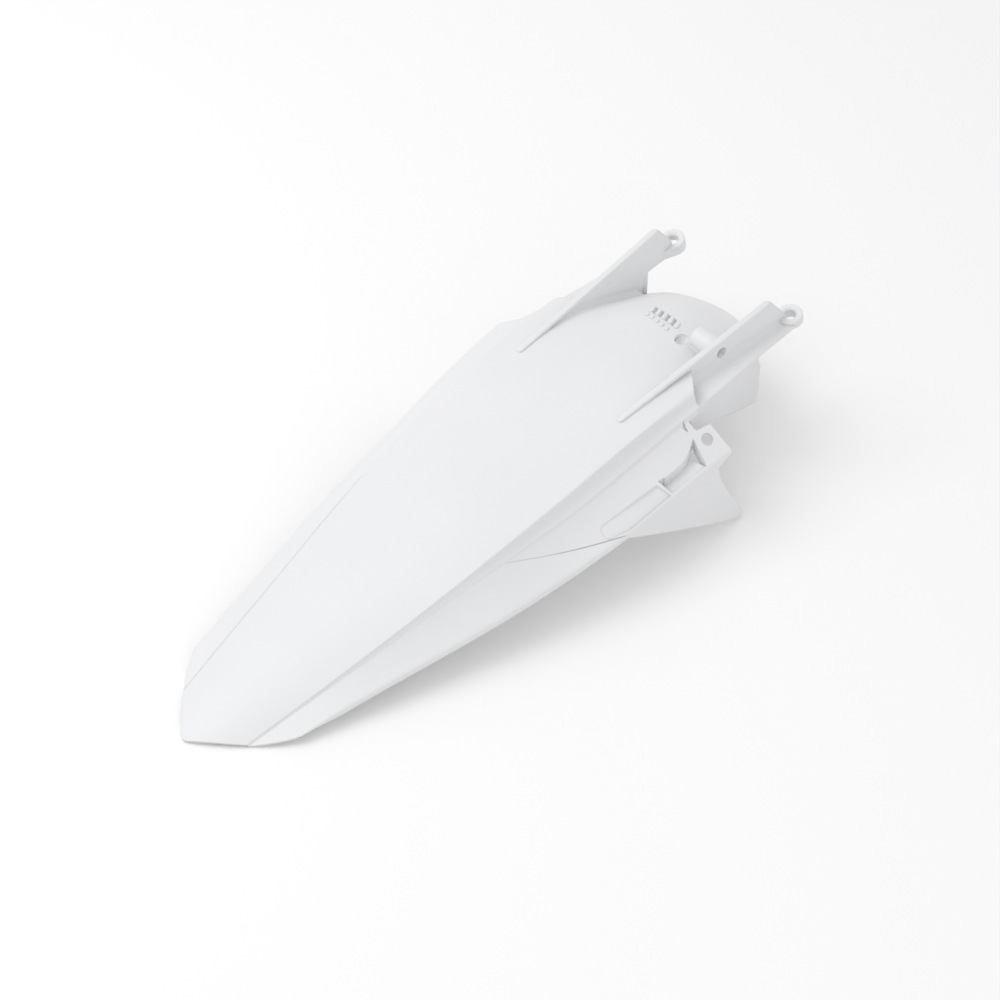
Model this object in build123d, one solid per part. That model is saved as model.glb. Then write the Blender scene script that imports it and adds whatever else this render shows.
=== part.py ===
from build123d import *
import math
import os

# Off-road motorcycle rear fender, one moulded shell. Millimetres, +X forward, +Y left, +Z up.
# While it is drawn, x runs forward from the tail tip and "half" is a distance from the centre plane.

# Shell
wall = 3.0
hem_height = 5.0
hem_spare = 8.0
ridge_inset = 2.0
ledge_hollow = 0.11

# Body sections: x, ridge half width, ridge height, crown rise, ledge reach, ledge drop, ledge step,
# shoulder half width, shoulder height
rear_sections = [
    (-12.0, 38.0, -10.0, 10.0, 0.5, 0.8, 0.3, 58.0, -15.0),
    (94.0, 55.0, 20.5, 10.0, 0.7, 1.2, 0.3, 79.5, 13.5),
    (200.0, 71.0, 52.0, 9.0, 1.8, 4.5, 0.4, 102.0, 30.5),
    (312.0, 85.5, 86.0, 7.5, 5.0, 11.5, 0.8, 124.0, 46.0),
    (400.0, 92.0, 108.0, 6.0, 8.0, 18.0, 1.6, 136.5, 61.0),
    (450.0, 94.3, 120.0, 5.0, 9.0, 18.8, 2.0, 142.5, 72.0),
    (505.0, 96.0, 131.0, 4.0, 9.0, 18.0, 2.2, 146.0, 84.0),
]
front_sections = [
    rear_sections[-1],
    (545.0, 97.0, 136.5, 3.0, 8.8, 15.0, 2.2, 147.5, 91.0),
    (575.0, 97.2, 139.5, 2.5, 8.6, 14.0, 2.2, 148.0, 95.0),
    (600.0, 97.2, 141.0, 2.5, 8.5, 13.5, 2.2, 148.5, 98.0),
]

# Tail outline in plan, from the crease to the corner (x, half)
tail_crease = (41.0, 46.2)
tail_corner = (84.7, 77.5)

# Wings below the shoulders, with the right wing's front edge in side view (x, z)
wing_tip_x = 586.0
wing_fall = 0.43
wing_half = 158.0
wing_edge = [(553.0, 88.0), (554.0, 74.0), (560.0, 54.0), (574.0, 26.0), (586.0, 4.0)]
left_setback = 33.0

# Hood between the arms: x, crest height, side half width, side height, leg foot half width, leg foot height
hood_sections = [
    (545.0, 139.5, 71.0, 136.0, 72.0, 100.0),
    (580.0, 141.0, 73.0, 133.0, 74.5, 75.0),
    (630.0, 138.0, 74.6, 112.0, 77.0, 50.0),
    (684.0, 118.0, 76.6, 88.5, 78.0, 38.0),
    (714.0, 96.0, 77.0, 75.0, 78.0, 34.0),
    (730.0, 84.0, 77.0, 68.0, 78.0, 32.0),
]
hood_root_drop = 20.0

# Front edge of the hood in plan (x, half), from its side to its nose
hood_front = [(691.0, 80.0), (711.0, 42.0), (727.0, 0.0)]

# Arms: side outline of the rib wall (x, z) from its rear top corner, then the shelf outside it (x, half)
arm_start = (500.0, 68.0)
arm_toe = 2.2
arm_wall = 3.2
rib_top = [(497.0, 132.2), (695.0, 168.8)]
rib_front = [(711.0, 148.0), (718.0, 134.0), (720.0, 121.0)]
rib_under = [(685.0, 119.5), (681.0, 84.0), (640.0, 96.0), (560.0, 112.0), (497.0, 124.0)]
rib_width = 6.2
rib_depth = 4.0
shelf_edge = [(540.0, 104.0), (602.0, 102.0), (662.0, 97.0), (721.0, 94.0)]
shelf_rear_z = 122.5
shelf_front_z = 131.5
shelf_wall = 3.2
cove_radius = 8.0
sink = 0.6

# Bolt eyes at the arm ends
eye_x = 727.0
eye_half = 81.4
eye_z = 132.0
eye_outer = 26.0
eye_hole = 12.5
eye_height = 10.0
eye_tilt = 14.0

# Side web below each shelf: x, half width, lower edge height
web_front = (691.0, 76.5, 36.0)
web_rear = (556.0, 106.3, 103.0)
web_wall = 2.8

# Seat-bolt boss on the right arm, and the opening in the hood at its inner end
boss_x = 631.0
boss_z = 139.0
boss_outer = 22.0
boss_hole = 9.0
boss_inner_half = 42.0
boss_window = 10.0
boss_window_gap = 1.0

# Vent slots on the hood crest
vent_x = 632.5
vent_y = 2.8
vent_count = 4
vent_pitch = 9.3
vent_length = 12.0
vent_width = 3.2
vent_slant = 24.0
louvre_width = 2.4
louvre_rise = 2.4

# Front ends of the panel band and of the tab, and the openings on the right flank (x, half)
band_end = [(594.0, 70.0), (570.0, 97.0), (569.0, 106.0)]
tab_inner = (570.0, 120.0)
tab_front_x = 573.0
left_tab_slant = 8.0
tab_hole_place = (558.0, 128.5)
tab_hole = 12.5
pocket_outline = [
    (492.0, 128.8), (524.0, 130.0), (534.0, 126.7), (546.0, 120.5), (541.5, 144.0), (496.0, 142.3),
]
pocket_depth = 9.0
pocket_wall = 2.6
tab_gaps = [
    [(545.5, 121.0), (537.0, 125.5), (541.5, 144.0)],
    [(547.5, 105.5), (542.5, 109.0), (545.5, 114.5)],
    [(491.0, 127.0), (498.5, 128.0), (498.0, 141.0)],
]
ramp_outline = [(418.5, 121.0), (488.5, 128.5), (494.0, 142.8), (441.5, 140.0), (416.0, 132.5)]
ramp_depth = 1.3

far = 400.0
right = -1
left = 1
split_x = rear_sections[-1][0]


def unit(a, b):
    """Direction from one point to another."""
    span = math.dist(a, b)
    return ((b[0] - a[0]) / span, (b[1] - a[1]) / span)


def miter(point, before, after, depth):
    """Corner shifted to the hidden side of two meeting directions."""
    first = (before[1], -before[0])
    second = (after[1], -after[0])
    share = depth / (1 + first[0] * second[0] + first[1] * second[1])
    return (point[0] + share * (first[0] + second[0]), point[1] + share * (first[1] + second[1]))


def between(sections, x):
    """Section values at x, straight between the two nearest sections."""
    for a, b in zip(sections, sections[1:]):
        if x <= b[0]:
            share = (x - a[0]) / (b[0] - a[0])
            return tuple(p + share * (q - p) for p, q in zip(a, b))
    return sections[-1]


def crown_height(section, half):
    """Height of the crowned top at a distance from the centre plane."""
    ridge_half, ridge_z, crown = section[1:4]
    radius = (ridge_half**2 + crown**2) / (2 * crown)
    return ridge_z + crown - radius + math.sqrt(radius**2 - half**2)


def arm_half(x):
    """Distance of the arm's inner face from the centre plane."""
    return arm_start[1] + (x - arm_start[0]) * math.tan(math.radians(arm_toe))


def wing_tip(side):
    """Place of the wing's lowest point along x."""
    return wing_tip_x if side == right else wing_tip_x - left_setback


def rail_half(x):
    """Distance of the arm wall's middle from the centre plane."""
    return arm_half(x) + arm_wall / 2


def flank_corners(section, side):
    """Outer corners from ridge to untrimmed hem, and their mates on the hidden face."""
    x, ridge_half, ridge_z, crown, reach, drop, step, shoulder_half, shoulder_z = section
    tip_half, tip_z = between(front_sections, wing_tip(side))[7:9]
    lean = (wing_half - tip_half) / tip_z
    hem_z = min(shoulder_z - hem_height, (wing_tip(side) - x) * wing_fall) - hem_spare
    outer = [
        (ridge_half, ridge_z),
        (ridge_half + reach, ridge_z - drop),
        (ridge_half + reach + step / 2, ridge_z - drop - step),
        (shoulder_half, shoulder_z),
        (shoulder_half + lean * (shoulder_z - hem_z), hem_z),
    ]
    flank, skirt = unit(outer[2], outer[3]), unit(outer[3], outer[4])
    inner = [(half - ridge_inset, z - wall) for half, z in outer[:3]]
    inner += [miter(outer[3], flank, skirt, wall), miter(outer[4], skirt, skirt, wall)]
    return outer, inner


def hollow_middle(a, b):
    """Middle point of the hollow stretch below the ridge."""
    way = unit(a, b)
    sag = ledge_hollow * math.dist(a, b)
    return ((a[0] + b[0]) / 2 + sag * way[1], (a[1] + b[1]) / 2 - sag * way[0])


def flank_edges(section, side):
    """Edges down the outer face, round the hem and up the hidden face."""
    x = section[0]
    outer, inner = flank_corners(section, side)

    def put(p):
        return (x, side * p[0], p[1])

    back = inner[:0:-1] + [hollow_middle(*inner[:2]), inner[0]]
    loop = [put(p) for p in outer[1:] + back]
    edges = [Edge.make_three_point_arc(put(outer[0]), put(hollow_middle(*outer[:2])), put(outer[1]))]
    edges += [Edge.make_line(a, b) for a, b in zip(loop, loop[1:])]
    return edges, put(outer[0]), put(inner[0])


def turned(edge):
    """The same edge, drawn from its other end."""
    if edge.geom_type == GeomType.LINE:
        return Edge.make_line(edge @ 1, edge @ 0)
    return Edge.make_three_point_arc(edge @ 1, edge @ 0.5, edge @ 0)


def body_wire(section):
    """Whole section behind the arms."""
    x, crest = section[0], section[2] + section[3]
    right_edges, right_ridge, right_inner = flank_edges(section, right)
    left_edges, left_ridge, left_inner = flank_edges(section, left)
    under = Edge.make_three_point_arc(right_inner, (x, 0, crest - wall), left_inner)
    over = Edge.make_three_point_arc(left_ridge, (x, 0, crest), right_ridge)
    return Wire(right_edges + [under] + [turned(e) for e in left_edges[::-1]] + [over])


def side_wire(section, side):
    """Section of one side beside the arm, from the arm's root to the hem."""
    x, start = section[0], rail_half(section[0])
    middle = (start + section[1]) / 2
    edges, ridge, inner = flank_edges(section, side)
    top = (x, side * start, crown_height(section, start))
    low = (x, side * start, top[2] - wall)
    over = Edge.make_three_point_arc(top, (x, side * middle, crown_height(section, middle)), ridge)
    return Wire([over] + edges + [Edge.make_line(inner, low), Edge.make_line(low, top)])


def hood_wire(x, crest, half, side_z, foot_half, foot_z, skin):
    """Arch over two legs, with its mate on the hidden face."""

    def rise(inset, drop):
        legs = [(foot_half - inset, foot_z), (half - inset, side_z)]
        points = legs + [(0, crest - drop)] + [(-p[0], p[1]) for p in legs[::-1]]
        return [(x, -p[0], p[1]) for p in points]

    def leap(p):
        return [Edge.make_line(p[0], p[1]), Edge.make_three_point_arc(*p[1:4]), Edge.make_line(p[3], p[4])]

    outer, inner = rise(0, 0), rise(wall, skin)[::-1]
    ends = [Edge.make_line(outer[4], inner[0]), Edge.make_line(inner[4], outer[0])]
    return Wire(leap(outer) + ends[:1] + leap(inner) + ends[1:])


def flank_place(x, half):
    """Point on the right flank's outer face above a plan place."""
    section = between(rear_sections + front_sections[1:], x)
    foot, shoulder = flank_corners(section, right)[0][2:4]
    share = (half - foot[0]) / (shoulder[0] - foot[0])
    return Vector(x, right * half, foot[1] + share * (shoulder[1] - foot[1]))


def flank_plane(*places):
    """Plane through three plan places on the right flank."""
    a, b, c = (flank_place(*p) for p in places)
    normal = (b - a).cross(c - a)
    if normal.Z < 0:
        normal = normal * -1
    return Plane((a + b + c) / 3, x_dir=b - a, z_dir=normal)


def upright(points, side=right, low=-far, grow=0.0):
    """Tall prism over a plan outline given as (x, half) places."""
    face = make_face(Polyline(*[(x, side * half) for x, half in points], close=True))
    if grow:
        face = offset(face, grow)
    return Pos(0, 0, low) * extrude(face, 2 * far, dir=(0, 0, 1))


def side_plate(points, thickness):
    """Plate with a side-view outline of (x, z) points, from the centre plane to the right."""
    return extrude(Plane.XZ * make_face(Polyline(*points, close=True)), thickness)


def slab(plane, top, thickness):
    """Wide plate parallel to a plane, its top face a given height above it."""
    return plane * Pos(0, 0, top - thickness / 2) * Box(far, far, thickness)


def both_sides(shape):
    return [shape, mirror(shape, about=Plane.XZ)]


def below_hem(side):
    """Everything under one side's hem, which follows the shoulder and then falls to the wing tip."""
    rear, front = rear_sections[0][0], front_sections[-1][0]
    run = Spline(*[(s[0], s[8] - hem_height) for s in rear_sections + front_sections[1:]])
    run += Polyline(run @ 1, (front, -far), (rear, -far), run @ 0)
    fall = [(x, (wing_tip(side) - x) * wing_fall) for x in (rear, front)]
    under = side_plate(fall + [(front, -far), (rear, -far)], far)
    under = under & extrude(Plane.XZ * make_face(run), far)
    return under if side == right else mirror(under, about=Plane.XZ)


def make_body():
    body = Solid.make_loft([body_wire(s) for s in rear_sections])
    body = body - below_hem(right) - below_hem(left)
    x, half = tail_corner
    edge = Spline((x, half), tail_crease, (0, 0))
    edge += Spline((0, 0), (tail_crease[0], -tail_crease[1]), (x, -half))
    edge += Polyline((x, -half), (x, -far), (-far, -far), (-far, far), (x, far), (x, half))
    return body - extrude(make_face(edge), far, both=True)


def make_side(side):
    """Panel band, ledge, flank and wing of one side, trimmed at the front."""
    panel = Solid.make_loft([side_wire(s, side) for s in front_sections]) - below_hem(side)
    back = 0 if side == right else left_setback
    front_x = tab_front_x - back
    inner = tab_inner if side == right else (front_x + left_tab_slant, tab_inner[1])
    ahead = split_x + far
    front = band_end + [inner, (front_x, between(front_sections, front_x)[7]), (front_x, far), (ahead, far),
                        (ahead, band_end[0][1])]
    edge = [(x - back, z) for x, z in wing_edge]
    top_z = edge[0][1] - wing_fall * back / 2
    panel -= upright(front, side, low=top_z)
    curve = Spline((edge[0][0], top_z), *edge[1:])
    curve += Polyline(edge[-1], (edge[-1][0], -far), (ahead, -far), (ahead, top_z), (edge[0][0], top_z))
    skirt_half = between(front_sections, split_x)[7] - wall
    cutter = Pos(0, -skirt_half, 0) * extrude(Plane.XZ * make_face(curve), far)
    return panel - (cutter if side == right else mirror(cutter, about=Plane.XZ))


def make_hood():
    """Arched skin between the arms, cut to a rounded front edge."""
    join = rear_sections[-1]
    half = rail_half(split_x)
    root_z = crown_height(join, half)
    rows = [(split_x, join[2] + join[3], half, root_z, half, root_z - hood_root_drop)] + hood_sections
    wires = []
    for i, row in enumerate(rows):
        behind, ahead = rows[max(i - 1, 0)], rows[min(i + 1, len(rows) - 1)]
        slope = (ahead[1] - behind[1]) / (ahead[0] - behind[0])
        wires.append(hood_wire(*row, wall * math.hypot(1, slope)))
    x, half = hood_front[0]
    edge = Spline(*hood_front, *[(a, -b) for a, b in hood_front[-2::-1]])
    edge += Polyline((x, -half), (x, -far), (split_x + far, -far), (split_x + far, far), (x, far), (x, half))
    return Solid.make_loft(wires) - extrude(make_face(edge), far, both=True)


def make_arm():
    """Right arm: rib wall with its thickened top, the shelf and cove outside it, and the bolt eye."""
    turn = Pos(arm_start[0], -arm_start[1], 0) * Rot(0, 0, -arm_toe) * Pos(-arm_start[0], 0, 0)
    rail = turn * side_plate(rib_top + rib_front + rib_under, arm_wall)
    strip = rib_top + [(x, z - rib_depth) for x, z in rib_top[::-1]]
    bead = turn * Pos(0, (rib_width - arm_wall) / 2, 0) * side_plate(strip, rib_width)

    start = shelf_edge[0][0]
    rise = (shelf_front_z - shelf_rear_z) / (eye_x - start)
    tilt = math.atan(rise)
    shelf_plane = Plane((start, 0, shelf_rear_z), x_dir=(1, 0, rise), z_dir=(-rise, 0, 1))
    outline = [(start, arm_half(start) + 1)] + shelf_edge + [(eye_x, eye_half), (eye_x, arm_half(eye_x) + 1)]
    face = make_face(Polyline(*[((x - start) / math.cos(tilt), -half) for x, half in outline], close=True))
    shelf = shelf_plane * extrude(face, -shelf_wall)

    near = 1 - math.sqrt(0.5)
    low = (-cove_radius, -sink)
    hollow = Polyline((0, cove_radius), (sink, cove_radius), (sink, -sink), low, (-cove_radius, 0))
    hollow += ThreePointArc((-cove_radius, 0), (-near * cove_radius, near * cove_radius), (0, cove_radius))
    outside = arm_half(start) + arm_wall - sink
    cove_plane = Plane((start, -outside, shelf_rear_z), x_dir=(0, 1, 0), z_dir=(1, 0, 0))
    way = Vector(1, -math.tan(math.radians(arm_toe)), rise)
    cove = extrude(cove_plane * make_face(hollow), (rib_top[1][0] - start) * way.length, dir=way)

    eye = eye_seat(right) * Cylinder(eye_outer / 2, eye_height)
    return rail + shelf + cove + bead + eye


def eye_seat(side):
    """Middle of a bolt eye, turned to its axis."""
    return Pos(eye_x, side * eye_half, eye_z) * Rot(0, -eye_tilt, 0)


def make_web():
    """Right web that hangs below the shelf, from the hood's front edge back to the tab."""
    run = math.dist(web_front[:2], web_rear[:2])
    along = (web_rear[0] - web_front[0], web_front[1] - web_rear[1], 0)
    plane = Plane((web_front[0], -web_front[1], 0), x_dir=along, z_dir=(along[1], -along[0], 0))
    front_top = shelf_front_z - shelf_wall
    rear_top = shelf_rear_z - shelf_wall / 2
    outline = Polyline((0, web_front[2]), (run, web_rear[2]), (run, rear_top), (0, front_top), close=True)
    face = make_face(outline)
    return plane * extrude(face, web_wall / 2, both=True)


def hood_height(x, half):
    """Height of the hood's outer face above a plan place."""
    crest, side_half, side_z = between(hood_sections, x)[1:4]
    rise = crest - side_z
    radius = (side_half**2 + rise**2) / (2 * rise)
    return crest - radius + math.sqrt(radius**2 - half**2)


def make_boss():
    """Seat-bolt barrel inside the right arm, on two walls that stand on the hood."""
    reach = rail_half(boss_x)
    middle = (reach + boss_inner_half) / 2
    boss = Pos(boss_x, -middle, boss_z) * Rot(90, 0, 0) * Cylinder(boss_outer / 2, reach - boss_inner_half)
    for x in (boss_x - (boss_outer - wall) / 2, boss_x + (boss_outer - wall) / 2):
        corners = [(half, hood_height(x, half) - wall / 2) for half in (reach, middle, boss_inner_half)]
        corners += [(boss_inner_half, boss_z), (reach, boss_z)]
        face = make_face(Polyline(*[(-half, z) for half, z in corners], close=True))
        boss += Plane((x, 0, 0), x_dir=(0, 1, 0), z_dir=(1, 0, 0)) * extrude(face, wall / 2, both=True)
    return boss


def vent_row(count, width, low, high):
    """Slanted bars side by side across the hood, from below its outer face to above it."""
    bar = extrude(Rectangle(vent_length, width), high - low)
    places = [vent_y + (i - (count - 1) / 2) * vent_pitch for i in range(count)]
    return [Pos(vent_x, y, hood_height(vent_x, y) + low) * Rot(0, 0, vent_slant) * bar for y in places]


def cut_flank(fender):
    """Sunk pocket, shallow ramp, gaps and bolt hole around the right tab."""
    plane = flank_plane(pocket_outline[0], pocket_outline[2], pocket_outline[-1])
    fender += upright(pocket_outline, grow=pocket_wall) & slab(plane, -1, pocket_depth + pocket_wall - 1)
    fender -= upright(pocket_outline) & slab(plane, far / 2 - pocket_depth, far / 2)
    for gap in tab_gaps:
        fender -= upright(gap) & slab(plane, 2 * wall, pocket_depth + 5 * wall)
    ramp = flank_plane(ramp_outline[0], ramp_outline[2], ramp_outline[-1])
    fender -= upright(ramp_outline) & slab(ramp, far / 2 - ramp_depth, far / 2)
    tab = flank_plane(tab_inner, (tab_front_x, tab_hole_place[1]), pocket_outline[-2])
    return fender - Plane(flank_place(*tab_hole_place), z_dir=tab.z_dir) * Cylinder(tab_hole / 2, 6 * wall)


def make_fender():
    fender = make_body() + make_side(right) + make_side(left)
    fender = cut_flank(fender) + make_hood()
    for piece in both_sides(make_arm()) + both_sides(make_web()) + [make_boss()]:
        fender += piece
    bolt_way = rail_half(boss_x) - boss_inner_half + 2 * wall
    bolt_seat = Pos(boss_x, -boss_inner_half - bolt_way / 2, boss_z) * Rot(90, 0, 0)
    fender -= bolt_seat * Cylinder(boss_hole / 2, bolt_way)
    window = boss_inner_half - boss_window / 2 - boss_window_gap
    fender -= Pos(boss_x, -window, boss_z - boss_outer / 2) * Cylinder(boss_window / 2, boss_outer)
    for side in (right, left):
        fender -= eye_seat(side) * Cylinder(eye_hole / 2, 3 * eye_height)
    for louvre in vent_row(vent_count + 1, louvre_width, -0.7 * wall, louvre_rise):
        fender += louvre
    for slot in vent_row(vent_count, vent_width, -4 * wall, 4 * wall):
        fender -= slot
    tilt = math.radians(eye_tilt)
    front = eye_x + (eye_outer * math.cos(tilt) + eye_height * math.sin(tilt)) / 2
    return Pos(-front / 2, 0, 0) * fender


os.makedirs("parts", exist_ok=True)
export_step(make_fender(), "parts/rear_fender.step")
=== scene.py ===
import math

import bpy
import numpy as np
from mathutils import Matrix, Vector


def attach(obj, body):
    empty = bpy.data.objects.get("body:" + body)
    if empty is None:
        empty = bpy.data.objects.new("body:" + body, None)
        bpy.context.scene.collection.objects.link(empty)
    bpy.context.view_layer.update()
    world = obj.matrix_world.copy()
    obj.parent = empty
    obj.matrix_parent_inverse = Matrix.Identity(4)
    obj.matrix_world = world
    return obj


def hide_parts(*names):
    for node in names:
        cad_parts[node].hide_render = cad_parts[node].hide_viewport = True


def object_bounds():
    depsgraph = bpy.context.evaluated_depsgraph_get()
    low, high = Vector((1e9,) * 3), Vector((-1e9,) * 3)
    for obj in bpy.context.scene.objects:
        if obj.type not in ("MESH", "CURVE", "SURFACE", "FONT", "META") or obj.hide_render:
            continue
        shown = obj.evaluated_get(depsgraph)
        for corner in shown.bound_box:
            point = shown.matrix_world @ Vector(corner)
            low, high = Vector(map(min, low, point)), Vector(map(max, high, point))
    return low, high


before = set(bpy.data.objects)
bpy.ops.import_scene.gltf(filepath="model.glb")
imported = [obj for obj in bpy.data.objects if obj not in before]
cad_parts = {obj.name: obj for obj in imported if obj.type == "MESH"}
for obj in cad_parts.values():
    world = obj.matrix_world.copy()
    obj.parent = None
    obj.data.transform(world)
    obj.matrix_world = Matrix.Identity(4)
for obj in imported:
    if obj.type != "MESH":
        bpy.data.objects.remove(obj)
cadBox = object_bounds()
tailX = cadBox[0][0]  # the tail tip, where the part's own x starts
right, left = -1, 1  # sign of y on each side
print("frame loaded")


# Lengths are in millimetres: x forward from the tail tip, y to the left, z up
def toWorld(points):
    flat = np.asarray(points, float) / 1000.0
    return flat + np.array([tailX, 0.0, 0.0])


def deselectAll():
    if bpy.context.object and bpy.context.object.mode != "OBJECT":
        bpy.ops.object.mode_set(mode="OBJECT")
    bpy.ops.object.select_all(action="DESELECT")


def makeActive(piece):
    deselectAll()
    piece.select_set(True)
    bpy.context.view_layer.objects.active = piece


def newPiece(name):
    piece = bpy.context.object
    piece.name = name
    return piece


def moveVertices(piece, points):
    piece.data.vertices.foreach_set("co", np.asarray(points, np.float32).ravel())
    piece.data.update()


def cleanUp(piece, fill=False, outward=True):
    makeActive(piece)
    bpy.ops.object.mode_set(mode="EDIT")
    bpy.ops.mesh.select_all(action="SELECT")
    bpy.ops.mesh.remove_doubles(threshold=1e-6)
    if fill:
        bpy.ops.mesh.fill_holes(sides=0)
    if outward:
        bpy.ops.mesh.select_all(action="SELECT")
        bpy.ops.mesh.normals_make_consistent(inside=False)
    bpy.ops.object.mode_set(mode="OBJECT")


def gridPiece(name, rows):
    rows = np.asarray(rows, float)  # rows x columns x 3
    down, along = rows.shape[0] - 1, rows.shape[1] - 1
    deselectAll()
    bpy.ops.mesh.primitive_grid_add(x_subdivisions=along, y_subdivisions=down, size=1)
    piece = newPiece(name)
    moveVertices(piece, toWorld(rows.reshape(-1, 3)))
    return piece


def tubePiece(name, rings):
    rings = np.asarray(rings, float)
    piece = gridPiece(name, np.concatenate([rings, rings[:, :1]], axis=1))
    cleanUp(piece, fill=True)
    return piece


def platePiece(name, outline, push):
    deselectAll()
    bpy.ops.mesh.primitive_circle_add(vertices=len(outline), radius=1, fill_type="NGON")
    piece = newPiece(name)
    moveVertices(piece, toWorld(outline))
    bpy.ops.object.mode_set(mode="EDIT")
    bpy.ops.mesh.select_all(action="SELECT")
    shift = tuple(v / 1000.0 for v in push)
    bpy.ops.mesh.extrude_region_move(TRANSFORM_OT_translate={"value": shift})
    bpy.ops.mesh.select_all(action="SELECT")
    bpy.ops.mesh.normals_make_consistent(inside=False)
    bpy.ops.object.mode_set(mode="OBJECT")
    return piece


def finishWith(piece, kind, **values):
    makeActive(piece)
    step = piece.modifiers.new(kind, kind)
    for key, value in values.items():
        setattr(step, key, value)
    bpy.ops.object.modifier_apply(modifier=step.name)
    return piece


def softenEdges(piece, width, segments=2, angle=40):
    return finishWith(piece, "BEVEL", width=width / 1000.0, segments=segments, limit_method="ANGLE",
                      angle_limit=math.radians(angle), use_clamp_overlap=True, harden_normals=False)


def combine(piece, tool, operation):
    finishWith(piece, "BOOLEAN", object=tool, operation=operation, solver="MANIFOLD")
    bpy.data.objects.remove(tool)
    return piece


def settleTool(name):
    bpy.ops.object.transform_apply(location=True, rotation=True, scale=True)
    return newPiece(name)


def drill(name, middle, axis, radius, length):
    deselectAll()
    turn = Vector(axis).to_track_quat("Z", "Y").to_euler()
    bpy.ops.mesh.primitive_cylinder_add(vertices=48, radius=radius / 1000.0, depth=length / 1000.0,
                                        location=toWorld(middle), rotation=turn)
    return settleTool(name)


def roundTool(name, middle, radii):
    deselectAll()
    bpy.ops.mesh.primitive_uv_sphere_add(segments=48, ring_count=24, radius=0.001,
                                         location=toWorld(middle), scale=radii)
    return settleTool(name)


def circle(count):
    return np.linspace(0, 2 * math.pi, count, endpoint=False)


def turnedTool(name, middle, axis, ahead, across, steps):
    rings = []
    for radius, height in steps:
        rings.append([middle + axis * height + (ahead * math.cos(a) + across * math.sin(a)) * radius
                      for a in circle(48)])
    return tubePiece(name, rings)


def naturalSpline(xs, ys):
    xs, ys = np.asarray(xs, float), np.asarray(ys, float)
    ys = ys.reshape(len(xs), -1)
    h = np.diff(xs)
    n = len(xs)
    a = np.zeros((n, n))
    b = np.zeros((n, ys.shape[1]))
    a[0, 0] = a[-1, -1] = 1.0
    for i in range(1, n - 1):
        a[i, i - 1], a[i, i], a[i, i + 1] = h[i - 1], 2 * (h[i - 1] + h[i]), h[i]
        b[i] = 6 * ((ys[i + 1] - ys[i]) / h[i] - (ys[i] - ys[i - 1]) / h[i - 1])
    m = np.linalg.solve(a, b)

    def at(x):
        x = float(x)
        i = int(np.clip(np.searchsorted(xs, x) - 1, 0, n - 2))
        p, q = xs[i + 1] - x, x - xs[i]
        return ((m[i] * p**3 + m[i + 1] * q**3) / (6 * h[i]) + (ys[i] / h[i] - m[i] * h[i] / 6) * p
                + (ys[i + 1] / h[i] - m[i + 1] * h[i] / 6) * q)

    return at


def pathThrough(points, count):
    points = np.asarray(points, float)
    run = np.concatenate([[0], np.cumsum(np.linalg.norm(np.diff(points, axis=0), axis=1))])
    curve = naturalSpline(run, points)
    return np.array([curve(s) for s in np.linspace(0, run[-1], count)])


cornerShare = 0.46  # the most of an edge that one rounded corner takes


def roundCorner(before, corner, after, reach, count):
    before, corner, after = (np.asarray(p, float) for p in (before, corner, after))
    near, far = before - corner, after - corner
    back, ahead = np.linalg.norm(near), np.linalg.norm(far)
    cut = min(reach, cornerShare * back, cornerShare * ahead)
    start, end = corner + near / back * cut, corner + far / ahead * cut
    t = np.linspace(0, 1, count)[:, None]
    return (1 - t) ** 2 * start + 2 * t * (1 - t) * corner + t**2 * end


def roundedOutline(points, reaches, count):
    out = []
    for i, (point, reach) in enumerate(zip(points, reaches)):
        if reach <= 0:
            out.append([np.asarray(point, float)])
        else:
            out.append(roundCorner(points[i - 1], point, points[(i + 1) % len(points)], reach, count))
    return np.concatenate(out)


def ease(x, low, high):
    t = min(max((x - low) / (high - low), 0.0), 1.0)
    return t * t * (3 - 2 * t)


def sagging(start, end, depth, t):
    run = end - start
    way = run / np.linalg.norm(run)
    return start + run * t + np.array([way[1], -way[0]]) * depth * 4 * t * (1 - t)


def solveAlong(low, high, excess, halvings=26):
    for _ in range(halvings):
        middle = (low + high) / 2
        if excess(middle) < 0:
            low = middle
        else:
            high = middle
    return (low + high) / 2


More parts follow.
